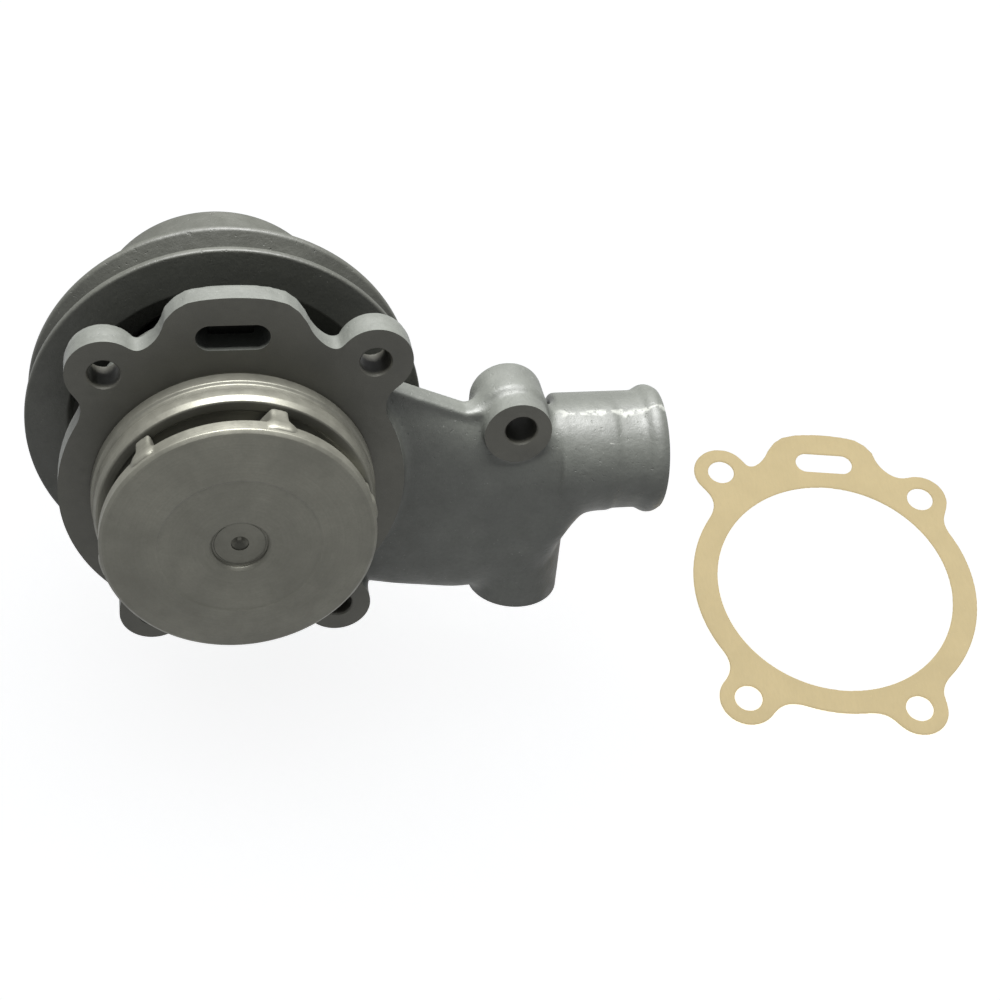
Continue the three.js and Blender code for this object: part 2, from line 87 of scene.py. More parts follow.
def make_camera():
    turn = (
        Matrix.Rotation(-CAMERA_HEADING, 4, "Z")
        @ Matrix.Rotation(math.pi / 2 - CAMERA_PITCH, 4, "X")
        @ Matrix.Rotation(CAMERA_ROLL, 4, "Z")
    )
    data = bpy.data.cameras.new("camera")
    data.lens = 66.16
    data.sensor_width = 36
    data.clip_start = 0.01
    data.clip_end = 100
    camera = bpy.data.objects.new("camera", data)
    camera.matrix_world = Matrix.Translation(Vector(CAMERA_PLACE) * MM) @ turn
    bpy.context.scene.collection.objects.link(camera)
    bpy.context.scene.camera = camera


make_camera()

# ---------------------------------------------------------------- sizes shared with the CAD
BODY_HIGH = millimetres("pump_body")[1]
# Bolt holes: x and z of each centre, and the radius of the lug round it.
BOLTS = [(-43, 50.2, 12.8), (48.6, 52, 12.8), (38.6, -56.6, 12.0), (-30, -56, 11.8)]
PAPER_BOLTS = [(-41.7, 47.5, 12), (46.6, 55.2, 12), (40.4, -56.6, 12), (-30.4, -56.8, 12)]
BOLT_HOLE = 5.4
LUG_THICKNESS = 13
FLANGE_RADIUS = 61
FLANGE_THICKNESS = 9.5
BAND_RADIUS = 66.3
SHOULDER_RADIUS = 79
CHAMBER = {"radius": 52, "front": 2, "back": 40}
WALL = 5
# The chamber's top is at rise - run * x - slope * y, and level along x beyond the bend.
TOP_SLOPE = {"rise": 72.7, "run": 0.46, "slope": 0.8, "bend": 84}
SLOT = {"z": 63.4, "half_length": 12.6, "radius": 4.9, "depth": 17}
EYE_RADIUS = 31
NECK = {"y": 20, "z": -4, "radius": 22.25, "bore": 18, "end": BODY_HIGH[0]}
EAR = {"x": 102.2, "z": 17.8, "radius": 12.4, "boss": 13.6, "front": 2.5, "step": 11, "back": 29}
EAR_HOLE = {"x": 103.2, "z": 18.8, "radius": 5.8}
BOSS = {"x": 110, "y": 20, "radius": 17.6, "bottom": -65.5}
HOUSING_RADIUS = 29
HOUSING_END = BODY_HIGH[1]
VANES = 6
FIRST_VANE = math.radians(17.8)
SHAFT_RADIUS = 8.8
SHAFT_FACE = -31
PAPER_HOLE = 50.5
PAPER_CENTRE = (255.6, 32.7, -90)
PAPER_TURN = math.radians(-10)
PAPER_TILT = math.radians(18.5)


# ---------------------------------------------------------------- mesh helpers
def add_object(name, mesh):
    thing = bpy.data.objects.new(name, mesh)
    bpy.context.scene.collection.objects.link(thing)
    return thing


def mesh_from(name, points, faces):
    """A mesh in metres from points in millimetres."""
    mesh = bpy.data.meshes.new(name)
    mesh.from_pydata((np.asarray(points, float) * MM).tolist(), [], faces)
    return mesh


def outward(mesh):
    """Joins points that lie together and turns the faces to point out."""
    shape = bmesh.new()
    shape.from_mesh(mesh)
    bmesh.ops.remove_doubles(shape, verts=shape.verts, dist=1e-6)
    bmesh.ops.recalc_face_normals(shape, faces=shape.faces)
    shape.to_mesh(mesh)
    shape.free()


def eased(corners, radius, steps=3):
    """The same closed outline with each corner rounded."""
    points = [Vector(corner) for corner in corners]
    result = []
    for i, point in enumerate(points):
        before, after = points[i - 1] - point, points[(i + 1) % len(points)] - point
        reach = min(radius, before.length * 0.45, after.length * 0.45)
        start, end = point + before.normalized() * reach, point + after.normalized() * reach
        for k in range(steps + 1):
            t = k / steps
            result.append(tuple(start.lerp(point, t).lerp(point.lerp(end, t), t)))
    return result


def lathe(name, section, steps=224):
    """A solid turned about the shaft's axis from its half section, corners given as (radius, y)."""
    count = len(section)
    points, faces = [], []
    for k in range(steps):
        angle = 2 * math.pi * k / steps
        points += [(r * math.cos(angle), y, r * math.sin(angle)) for r, y in section]
    for k in range(steps):
        here, there = k * count, (k + 1) % steps * count
        for i in range(count):
            j = (i + 1) % count
            faces.append((here + i, here + j, there + j, there + i))
    mesh = mesh_from(name, points, faces)
    outward(mesh)
    return add_object(name, mesh)


def prism(name, outline, low, high):
    """An outline in x and z made solid from one y to another."""
    count = len(outline)
    points = [(x, y, z) for y in (low, high) for x, z in outline]
    faces = [tuple(range(count)), tuple(range(2 * count - 1, count - 1, -1))]
    faces += [(i, (i + 1) % count, count + (i + 1) % count, count + i) for i in range(count)]
    mesh = mesh_from(name, points, faces)
    outward(mesh)
    return add_object(name, mesh)


def box_solid(name, low, high):
    outline = [(low[0], low[2]), (high[0], low[2]), (high[0], high[2]), (low[0], high[2])]
    return prism(name, outline, low[1], high[1])


def baked(thing):
    """Replaces a piece's mesh by the result of its modifiers."""
    bpy.context.view_layer.update()
    graph = bpy.context.evaluated_depsgraph_get()
    result = bpy.data.meshes.new_from_object(thing.evaluated_get(graph))
    thing.modifiers.clear()
    thing.data = result
    return thing


def combine(thing, tools, operation="DIFFERENCE"):
    """Cuts the tools from a piece, or joins them to it, and deletes them."""
    for tool in tools:
        change = thing.modifiers.new("change", "BOOLEAN")
        change.operation = operation
        change.solver = "MANIFOLD"
        change.object = tool
    baked(thing)
    for tool in tools:
        bpy.data.objects.remove(tool)
    return thing


def smooth_shaded(thing, angle=32):
    thing.data.shade_smooth()
    thing.data.set_sharp_from_angle(angle=math.radians(angle))
    return thing


def drill(x, z, radius, low, high, mouth=None, chamfer=0.7):
    """A round cutting tool along Y, with a chamfer where it meets the face at y = mouth."""
    section = [(0, low), (radius, low), (radius, high), (0, high)]
    if mouth is not None:
        wide = radius + chamfer
        section = [(0, low), (wide, low), (wide, mouth), (radius, mouth + chamfer), (radius, high), (0, high)]
    tool = lathe("drill", section, 64)
    tool.data.transform(Matrix.Translation(Vector((x, 0, z)) * MM))
    return tool


def along_x(tool, y, z):
    """Turns a lathe's axis from Y to X, and moves it to a height and depth."""
    tool.data.transform(Matrix.Translation(Vector((0, y, z)) * MM) @ Matrix.Rotation(-math.pi / 2, 4, "Z"))
    return tool


def along_z(tool, x, y):
    tool.data.transform(Matrix.Translation(Vector((x, y, 0)) * MM) @ Matrix.Rotation(math.pi / 2, 4, "X"))
    return tool


# ---------------------------------------------------------------- distance fields
class Field:
    """A regular grid of points on which signed distances are worked out, then meshed at zero."""

    def __init__(self, low, high, step):
        self.low = np.array(low, float)
        self.step = step
        axes = [np.arange(a, b + step, step, dtype=np.float32) for a, b in zip(low, high)]
        self.x, self.y, self.z = np.meshgrid(*axes, indexing="ij", sparse=True)

    def solid(self, name, distance, relax=3):
        """The surface where the distance is zero, its points evened out relax times."""
        counts = [self.x.size, self.y.size, self.z.size]
        values = np.array(np.broadcast_to(distance, counts), dtype=np.float32, order="C")
        grid = openvdb.FloatGrid(4.0)
        grid.copyFromArray(values)
        points, triangles, quads = grid.convertToPolygons(isovalue=0.0, adaptivity=0.0)
        faces = [tuple(int(i) for i in face) for group in (quads, triangles) for face in group]
        mesh = mesh_from(name, points * self.step + self.low, faces)
        shape = bmesh.new()
        shape.from_mesh(mesh)
        for _ in range(relax):
            bmesh.ops.smooth_vert(
                shape, verts=shape.verts, factor=0.5, use_axis_x=True, use_axis_y=True, use_axis_z=True
            )
        if shape.calc_volume(signed=True) < 0:
            bmesh.ops.reverse_faces(shape, faces=shape.faces)
        shape.to_mesh(mesh)
        shape.free()
        return add_object(name, mesh)


def joined(a, b, blend=0.0):
    """The union of two distances, with a fillet about as wide as blend."""
    if blend == 0:
        return np.minimum(a, b)
    overlap = np.maximum(blend - np.abs(a - b), 0) / blend
    return np.minimum(a, b) - overlap * overlap * blend / 4


def without(a, b, blend=0.0):
    return -joined(-a, b, blend)


def common(a, b, blend=0.0):
    return -joined(-a, -b, blend)


def slab(value, low, high):
    return np.abs(value - (low + high) / 2) - (high - low) / 2


def rounded(a, b, edge):
    """Where both distances are negative, with the edge between them rounded."""
    p, q = a + edge, b + edge
    return np.minimum(np.maximum(p, q), 0) + np.hypot(np.maximum(p, 0), np.maximum(q, 0)) - edge


def round_bar(a, b, along, centre, radius, low, high, edge=1.0):
    """A bar with a round section in a and b, from low to high along the third direction."""
    return rounded(np.hypot(a - centre[0], b - centre[1]) - radius, slab(along, low, high), edge)


def capsule(a, b, start, end, radius):
    """Distance in a plane from a line with round ends."""
    run = (end[0] - start[0], end[1] - start[1])
    t = ((a - start[0]) * run[0] + (b - start[1]) * run[1]) / (run[0] ** 2 + run[1] ** 2)
    t = np.clip(t, 0, 1)
    return np.hypot(a - start[0] - t * run[0], b - start[1] - t * run[1]) - radius


def outline_distance(a, b, corners):
    """Distance in a plane from a closed outline, negative inside."""
    nearest = np.full(np.broadcast(a, b).shape, 1e9, np.float32)
    sign = np.ones_like(nearest)
    for (x0, z0), (x1, z1) in zip(corners, corners[1:] + corners[:1]):
        nearest = np.minimum(nearest, capsule(a, b, (x0, z0), (x1, z1), 0))
        crosses = (z0 > b) != (z1 > b)
        side = (x1 - x0) * (b - z0) / (z1 - z0 if z1 != z0 else 1e-9) + x0 > a
        sign = np.where(crosses & side, -sign, sign)
    return nearest * sign


def on_circle(radius, angle):
    """x and z on a circle about the shaft, at an angle in degrees clockwise from the top."""
    return (radius * math.sin(math.radians(angle)), radius * math.cos(math.radians(angle)))


# ---------------------------------------------------------------- casting
def shoulder_corners():
    """The flange's raised edge above the by-pass slot, sloping down further on the right."""
    top = [on_circle(SHOULDER_RADIUS, angle) for angle in np.linspace(-8, 9, 7)]
    left = [(-26.5, 57), (-24.2, 65), (-22.4, 70.9), (-19.1, 74.8), (-15, 77.4)]
    return left + top + [(18.2, 76.2), (22, 73), (25, 68.4), (29.5, 57)]


def flange_plan(x, z, bolts):
    """The flange's outline as a distance in its own plane."""
    plan = np.hypot(x, z) - FLANGE_RADIUS
    for bolt_x, bolt_z, radius in bolts:
        lug = capsule(x, z, (bolt_x * 0.5, bolt_z * 0.5), (bolt_x, bolt_z), radius)
        plan = joined(plan, lug, 9)
    band = common(np.hypot(x, z) - BAND_RADIUS, np.abs(x) - 0.82 * z, 2)
    plan = joined(plan, band, 4)
    shoulder = outline_distance(x, z, shoulder_corners())
    return joined(plan, shoulder, 6)


def run_sizes(x):
    """Centre and half sizes of the suction chamber's section along x, and how square it is."""
    stations = np.array([
        # x, centre y, centre z, half y, half z, squareness
        [10, 24.5, -14, 15.0, 38.0, 3.5],
        [40, 24.0, -13, 15.5, 44.5, 3.8],
        [62, 23.2, -14, 17.2, 46.8, 3.8],
        [85, 22.0, -19.4, 18.6, 43.2, 3.5],
        [105, 21.2, -20, 19.6, 40.8, 3.1],
        [117, 20.6, -17.8, 20.6, 36.4, 2.8],
        [124, 20.2, -11.6, 21.5, 29.8, 2.3],
        [129, 20, -5.6, 22.0, 24, 2.1],
        [134, 20, -4, 22.25, 22.25, 2.0],
    ])
    places = np.linspace(-10, 170, 361)
    window = np.ones(15) / 15
    sizes = []
    for column in stations.T[1:]:
        line = np.interp(places, stations[:, 0], column)
        line = np.convolve(np.pad(line, 7, mode="edge"), window, mode="valid")
        sizes.append(np.interp(x.ravel(), places, line).reshape(x.shape).astype(np.float32))
    return sizes


def chamber_run(field, inset=0.0):
    x, y, z = field.x, field.y, field.z
    middle_y, middle_z, half_y, half_z, square = run_sizes(x)
    half_y, half_z = half_y - inset, half_z - inset
    across = np.abs(y - middle_y) / half_y
    up = np.abs(z - middle_z) / half_z
    size = (across ** square + up ** square) ** (1 / square) + 1e-6
    slope_y = (across / size) ** (square - 1) / half_y
    slope_z = (up / size) ** (square - 1) / half_z
    distance = (size - 1) / np.hypot(slope_y, slope_z)
    return np.maximum(distance, slab(x, 6, 140))


def below_slope(x, y, z):
    """Distance from the plane in which the chamber's top falls away towards the pulley."""
    slope = TOP_SLOPE["slope"]
    height = TOP_SLOPE["rise"] - TOP_SLOPE["run"] * np.minimum(x, TOP_SLOPE["bend"]) - slope * y
    return (z - height) / math.hypot(1, slope)


def casting_outside(field):
    x, y, z = field.x, field.y, field.z
    body = rounded(flange_plan(x, z, BOLTS), slab(y, -6, FLANGE_THICKNESS), 1.2)
    around = round_bar(x, z, y, (0, 0), CHAMBER["radius"], CHAMBER["front"], CHAMBER["back"], 5)
    chamber = joined(around, chamber_run(field), 7)
    body = joined(body, common(chamber, below_slope(x, y, z), 5), 5)
    body = joined(body, round_bar(x, z, y, (0, 0), HOUSING_RADIUS, 30, HOUSING_END + 6, 1), 9)
    neck = round_bar(y, z, x, (NECK["y"], NECK["z"]), NECK["radius"], 120, NECK["end"] + 4, 1)
    body = joined(body, neck, 3)
    off_axis = np.hypot(y - NECK["y"], z - NECK["z"])
    bead = np.hypot(off_axis - NECK["radius"] + 2.2, (x - NECK["end"] + 3.6) * 0.95) - 4.3
    body = joined(body, bead, 1.5)
    hump = outline_distance(x, z, [(-19, 38), (-19, 61), (-13, 68.5), (13, 68.5), (19, 61), (19, 38)])
    body = joined(body, rounded(hump, slab(y, 4, 21), 4), 5)
    rib = outline_distance(x, z, [(50, 18), (50, 36.5), (60, 33), (84, 23), (100, 25), (100, 8)])
    rib = rounded(rib, slab(y, 8.5, 17.5), 1.4)
    body = joined(body, rib, 1.2)
    seam = np.hypot(capsule(x, z, (54, 32.2), (84, 19.6), 0), y - 7.4) - 0.9
    body = without(body, seam, 0.8)
    boss = round_bar(x, y, z, (BOSS["x"], BOSS["y"]), BOSS["radius"], BOSS["bottom"] - 4, -36, 2)
    body = joined(body, boss, 3)
    for bolt_x, bolt_z, radius in BOLTS:
        lug = round_bar(x, z, y, (bolt_x, bolt_z), radius - 0.2, -6, LUG_THICKNESS, 1.5)
        body = joined(body, lug, 2)
    behind_ear = (EAR["x"] - 0.6, EAR["z"] + 0.6)
    boss_ear = round_bar(x, z, y, behind_ear, EAR["boss"], EAR["step"], EAR["back"], 2.5)
    body = joined(body, boss_ear, 4)
    ear = round_bar(x, z, y, (EAR["x"], EAR["z"]), EAR["radius"], EAR["front"] - 4, EAR["step"] + 6, 1)
    return joined(body, ear, 1.6)


def casting_hollow(field):
    x, y, z = field.x, field.y, field.z
    around = round_bar(
        x, z, y, (0, 0), CHAMBER["radius"] - WALL, FLANGE_THICKNESS, CHAMBER["back"] - WALL, 3
    )
    seal_boss = round_bar(x, z, y, (0, 0), 27, 27.5, 60, 1)
    around = without(around, seal_boss, 2)
    run = np.maximum(chamber_run(field, WALL), 26 - x)
    bore = round_bar(y, z, x, (NECK["y"], NECK["z"]), NECK["bore"], 118, 190, 1)
    chamber = np.maximum(joined(around, run, 3), below_slope(x, y, z) + WALL)
    hollow = joined(chamber, bore, 4)
    ear_wall = round_bar(x, z, y, (EAR_HOLE["x"], EAR_HOLE["z"]), EAR_HOLE["radius"] + 3.5, -10, 60, 1)
    hollow = without(hollow, ear_wall, 1.5)
    passage = rounded(slab(x, -8, 8), slab(y, 10.5, SLOT["depth"]), 1)
    return joined(hollow, np.maximum(passage, slab(z, 40, SLOT["z"])), 1)


def end_cutter(name, end):
    """A disc that cuts off everything from one y on."""
    return lathe(name, [(0, end), (40, end), (40, end + 9), (0, end + 9)], 64)


def casting_tools():
    """Everything that is machined off or out of the casting."""
    tools = [
        box_solid("flange_cut", (-90, -20, -90), (74, 0, 100)),
        drill(0, 0, EYE_RADIUS, -25, 12, 0, 0.6),
        drill(0, 0, 20.4, 5, 46),
        drill(0, 0, 14, 40, 52),
        drill(0, 0, 23.75, 50, HOUSING_END + 8),
        lathe("circlip_groove", [(0, 91.1), (24.8, 91.1), (24.8, 93.2), (0, 93.2)], 96),
        end_cutter("housing_end", HOUSING_END),
        along_x(end_cutter("neck_end", NECK["end"]), NECK["y"], NECK["z"]),
        box_solid("boss_end", (90, 0, BOSS["bottom"] - 20), (132, 42, BOSS["bottom"])),
        drill(EAR_HOLE["x"], EAR_HOLE["z"], EAR_HOLE["radius"], -10, 60, EAR["front"], 0.5),
        drill(EAR["x"], EAR["z"], EAR["radius"] + 3, -12, EAR["front"]),
        along_z(lathe("weep_hole", [(0, 12), (2.5, 12), (2.5, 60), (0, 60)], 32), 0, 48),
    ]
    tools += [drill(bolt_x, bolt_z, BOLT_HOLE, -10, 20, 0, 0.5) for bolt_x, bolt_z, _ in BOLTS]
    radius = SLOT["radius"]
    reach = SLOT["half_length"] - radius
    turns = np.radians(np.linspace(-90, 90, 17))
    right = [(reach + radius * math.cos(turn), SLOT["z"] + radius * math.sin(turn)) for turn in turns]
    left = [(-x, 2 * SLOT["z"] - z) for x, z in right]
    tools.append(prism("slot", right + left, -10, SLOT["depth"]))
    return tools


def make_casting():
    field = Field((-66, -8, -80), (164, HOUSING_END + 6, 86), 0.8)
    distance = without(casting_outside(field), casting_hollow(field), 0.8)
    casting = field.solid("casting", distance)
    combine(casting, casting_tools())
    return smooth_shaded(casting, 35)


def make_spigot():
    """The turned ring that centres the flange, with its relief groove and two lands."""
    section = [
        (EYE_RADIUS, 0.4), (49.3, 0.4), (49.3, -0.5), (49.9, -0.9), (49.9, -5.4), (48.9, -6.2),
        (48.7, -8.2), (49.1, -8.8), (49.1, -12.6), (48.2, -14.9), (47.6, -15.1), (44.5, -15.1),
        (44.0, -14.6), (33.5, -14.6), (33.0, -15.0), (EYE_RADIUS + 1, -15.0), (EYE_RADIUS, -14),
    ]
    spigot = lathe("spigot", eased(section, 0.35))
    return smooth_shaded(spigot, 30)


# ---------------------------------------------------------------- impeller and shaft
def vane_distance(field):
    radius = np.hypot(field.x, field.z)
    angle = np.arctan2(field.x, field.z)
    inner, outer = 12.5, 47.2
    t = np.clip((radius - inner) / (outer - inner), 0, 1)
    sweep = math.radians(-38)
    middle = FIRST_VANE + sweep * (1 - t) ** 1.4
    slope = -1.4 * sweep * (1 - t) ** 0.4 / (outer - inner)
    pitch = 2 * math.pi / VANES
    offset = (angle - middle + pitch / 2) % pitch - pitch / 2
    lateral = np.abs(offset) * radius / np.sqrt(1 + (radius * slope) ** 2)
    return rounded(lateral - (2.0 + 1.1 * t), radius - outer, 0.8)


def make_impeller():
    """Open-vane impeller: a turned disc with six swept vanes behind it."""
    field = Field((-49, -29, -49), (49, 14, 49), 0.6)
    radius = np.hypot(field.x, field.z)
    disc = rounded(radius - 47.0, slab(field.y, -28, -24.8), 0.6)
    vanes = rounded(vane_distance(field), slab(field.y, -28, -15.9), 0.5)
    body = joined(disc, vanes, 5)
    hub = rounded(radius - 13.5, slab(field.y, -28, 12), 0.6)
    vaned = field.solid("impeller", joined(body, hub, 4), 2)
    bore = SHAFT_RADIUS + 0.05
    front = [
        (bore, SHAFT_FACE), (9.6, SHAFT_FACE), (9.6, -32.1), (10.7, -33.15), (27.7, -32.85),
        (28.1, -33.0), (28.5, -33.25), (46.3, -31.15), (47.5, -30.1), (47.5, -25.2),
        (47.1, -24.8), (44.0, -25.4), (bore, -25.4),
    ]
    combine(vaned, [drill(0, 0, bore, -40, 20)])
    combine(vaned, [lathe("disc", eased(front, 0.25))], "UNION")
    return smooth_shaded(vaned, 30)


def key_slot(bottom, top):
    """A cutting tool a little wider and longer than the key, from one height to another."""
    low, high = millimetres("shaft_key")
    room = 0.2
    return box_solid("keyway", (low[0] - room, low[1] - room, bottom), (high[0] + room, high[1] + room, top))


def make_shaft():
    """Stepped shaft with a centre hole in its front, a bearing seat and a threaded end."""
    section = [
        (0, -28.8), (0.8, -28.6), (3.0, -30.4), (3.1, SHAFT_FACE), (SHAFT_RADIUS, SHAFT_FACE),
        (SHAFT_RADIUS, 22), (10, 23), (10, 90.8), (SHAFT_RADIUS, 91.1), (SHAFT_RADIUS, 104),
        (7.8, 104.5), (7.8, 115.6), (6.9, 116.5), (0, 116.5),
    ]
    shaft = lathe("shaft", section, 128)
    low, high = millimetres("shaft_key")
    combine(shaft, [key_slot(low[2] - 0.2, high[2] + 2)])
    return smooth_shaded(shaft, 30)


# ---------------------------------------------------------------- pulley
def make_pulley():
    """Turned wheel with one belt groove, a hollow drum and four fan bolt holes in its front."""
    section = [
        (9.05, 91.4), (13, 91.4), (13, 96.5), (19, 97.5), (32, 103), (37, 101), (39, 96), (40, 64),
        (46, 53), (56, 47), (57.5, 41.4), (73.1, 41.4), (73.2, 44.4), (61.4, 49.6), (61.4, 53.5),
        (72, 58.6), (72.2, 61.2), (66, 61.2), (60, 60.5), (51, 67), (47.5, 74), (47.5, 116),
        (46.3, 117), (17.6, 117), (17, 116.4), (17, 104), (9.05, 104),
    ]
    pulley = lathe("pulley_wheel", eased(section, 1.0, 4))
    holes = [drill(*on_circle(31, 45 + 90 * k), 4.2, 95, 118) for k in range(4)]
    key_top = millimetres("shaft_key")[1][2]
    combine(pulley, holes + [key_slot(8, key_top + 0.2)])
    return smooth_shaded(pulley, 30)


def make_nut():
    """Hexagon nut with its corners turned off at both ends."""
    outline = [on_circle(13.6, 60 * k) for k in range(6)]
    nut = prism("nut", outline, 106.8, 115.4)
    crown = [(0, 100), (12.2, 100), (15, 108), (15, 112.6), (12.4, 115.5), (0, 116.5)]
    combine(nut, [lathe("crown", crown, 96)], "INTERSECT")
    combine(nut, [drill(0, 0, 8.1, 90, 120)])
    return smooth_shaded(nut, 30)


# ---------------------------------------------------------------- gasket
def make_gasket():
    """Thin paper sheet cut to the flange's outline, lying turned over."""
    field = Field((-70, -1.2, -74), (70, 2.2, 84), 0.4)
    x, y, z = field.x, field.y, field.z
    plan = flange_plan(x, z, PAPER_BOLTS)
    plan = without(plan, np.hypot(x, z) - PAPER_HOLE)
    for bolt_x, bolt_z, _ in PAPER_BOLTS:
        plan = without(plan, np.hypot(x - bolt_x, z - bolt_z) - BOLT_HOLE - 0.3)
    reach = SLOT["half_length"] - SLOT["radius"]
    plan = without(plan, capsule(x, z, (-reach, SLOT["z"]), (reach, SLOT["z"]), SLOT["radius"]))
    sheet = field.solid("paper_gasket", rounded(plan, slab(y, 0, 1.0), 0.2), 1)
    lie = (
        Matrix.Rotation(PAPER_TURN, 4, "Z")
        @ Matrix.Rotation(PAPER_TILT, 4, "X")
        @ Matrix.Rotation(-math.pi / 2, 4, "X")
        @ Matrix.Scale(-1, 4, (1, 0, 0))
    )
    sheet.data.transform(Matrix.Translation(Vector(PAPER_CENTRE) * MM) @ lie)
    sheet.data.flip_normals()
    return smooth_shaded(sheet, 40)


# ---------------------------------------------------------------- materials
class Look:
    """A material whose nodes are added one by one. Lengths in its noises are millimetres."""

    def __init__(self, name, roughness=0.5, metallic=0.0):
        self.material = bpy.data.materials.new(name)
        self.material.use_nodes = True
        self.nodes = self.material.node_tree.nodes
        self.links = self.material.node_tree.links
        self.shader = self.nodes["Principled BSDF"]
        self.shader.inputs["Metallic"].default_value = metallic
        self.shader.inputs["Roughness"].default_value = roughness
        self.place = self.nodes.new("ShaderNodeTexCoord").outputs["Object"]
        self.height = None

    def node(self, kind, values=(), **settings):
        made = self.nodes.new(kind)
        for key, value in settings.items():
            setattr(made, key, value)
        for socket, value in dict(values).items():
            if isinstance(value, bpy.types.NodeSocket):
                self.links.new(value, made.inputs[socket])
            else:
                made.inputs[socket].default_value = value
        return made

    def noise(self, size, detail=4.0, roughness=0.55, stretch=None):
        """Noise whose features are about size millimetres wide."""
        place = self.place
        if stretch is not None:
            place = self.node("ShaderNodeMapping", {"Vector": place, "Scale": stretch}).outputs[0]
        values = {"Vector": place, "Scale": 1000.0 / size, "Detail": detail, "Roughness": roughness}
        return self.node("ShaderNodeTexNoise", values).outputs["Fac"]

    def ramp(self, value, low, high, start=0.0, end=1.0):
        """Maps a value from low..high to start..end, clamped."""
        inputs = {"Value": value, 1: low, 2: high, 3: start, 4: end}
        return self.node("ShaderNodeMapRange", inputs).outputs[0]

    def math(self, operation, a, b):
        return self.node("ShaderNodeMath", {0: a, 1: b}, operation=operation).outputs[0]

    def mix(self, factor, first, second):
        made = self.node("ShaderNodeMix", data_type="RGBA")
        for socket, value in ((made.inputs[0], factor), (made.inputs[6], first), (made.inputs[7], second)):
            if isinstance(value, bpy.types.NodeSocket):
                self.links.new(value, socket)
            else:
                socket.default_value = value if isinstance(value, float) else (*value, 1.0)
        return made.outputs[2]

    def colour(self, value):
        self.links.new(value, self.shader.inputs["Base Color"])

    def roughness(self, value):
        self.links.new(value, self.shader.inputs["Roughness"])

    def bump(self, height, depth):
        """Adds relief: depth is in millimetres."""
        inputs = {"Height": height, "Distance": depth * MM, "Strength": 1.0}
        made = self.node("ShaderNodeBump", inputs)
        if self.height is not None:
            self.links.new(self.height, made.inputs["Normal"])
        self.height = made.outputs[0]
        self.links.new(self.height, self.shader.inputs["Normal"])


def shade(colour, factor):
    return tuple(channel * factor for channel in colour)


def parting_line(look):
    """Where the neck's mould line runs along its top, worn bright in patches."""
    apart = look.node("ShaderNodeSeparateXYZ", {0: look.place})
    x, y, z = apart.outputs
    wander = look.ramp(look.noise(9, 3), 0.3, 0.7, -1.6 * MM, 1.6 * MM)
    off_line = look.math("ABSOLUTE", look.math("ADD", look.math("SUBTRACT", y, 13.5 * MM), wander), 0.0)
    line = look.ramp(off_line, 0.3 * MM, 1.3 * MM, 1, 0)
    on_neck = look.math("MULTIPLY", look.ramp(x, 118 * MM, 122 * MM), look.ramp(z, 0, 3 * MM))
    worn = look.ramp(look.noise(3.5, 4, 0.7), 0.42, 0.5)
    return look.math("MULTIPLY", look.math("MULTIPLY", line, on_neck), worn)


def painted_casting(name, base, chipped, parted=False):
    look = Look(name, 0.5)
    broad = look.noise(26, 3)
    fine = look.noise(1.6, 5, 0.7)
    colour = look.mix(look.ramp(broad, 0.3, 0.7), shade(base, 0.86), shade(base, 1.16))
    colour = look.mix(look.ramp(fine, 0.35, 0.7, 0, 0.35), colour, shade(base, 0.62))
    spots = look.ramp(look.noise(1.1, 2, 0.6), 0.70, 0.74)
    chips = look.math("MULTIPLY", spots, look.ramp(look.noise(16, 3), 0.5, 0.62))
    colour = look.mix(look.math("MULTIPLY", chips, 0.8), colour, chipped)
    if parted:
        colour = look.mix(parting_line(look), colour, chipped)
    look.colour(colour)
    look.roughness(look.ramp(look.noise(7, 4), 0.3, 0.7, 0.42, 0.6))
    look.shader.inputs["Specular IOR Level"].default_value = 0.4
    look.bump(look.noise(1.3, 6, 0.65), 0.14)
    pits = look.ramp(look.noise(1.8, 2, 0.5), 0.66, 0.76, 1, 0)
    look.bump(pits, 0.12)
    look.bump(look.noise(14, 3), 0.5)
    return look.material


def machined_face(name, base, direction, lay=0.35):
    """Turned or milled iron under a thin dark film, with its fine lay stretched along the tool's path."""
    look = Look(name, 0.42, 0.35)
    film = look.noise(34, 4, 0.6)
    colour = look.mix(look.ramp(film, 0.32, 0.68), shade(base, 0.84), shade(base, 1.18))
    grain = look.noise(0.5, 4, 0.7)
    colour = look.mix(look.ramp(grain, 0.3, 0.75, 0, lay), colour, shade(base, 0.6))
    blotch = look.ramp(look.noise(5, 5, 0.7), 0.62, 0.74, 0, 0.35)
    colour = look.mix(blotch, colour, shade(base, 1.5))
    look.colour(colour)
    look.roughness(look.ramp(look.noise(3, 5, 0.7), 0.3, 0.7, 0.34, 0.52))
    look.bump(look.noise(0.7, 5, 0.7), 0.03)
    if direction is not None:
        look.bump(look.noise(0.35, 3, 0.6, direction), 0.02)
    return look.material


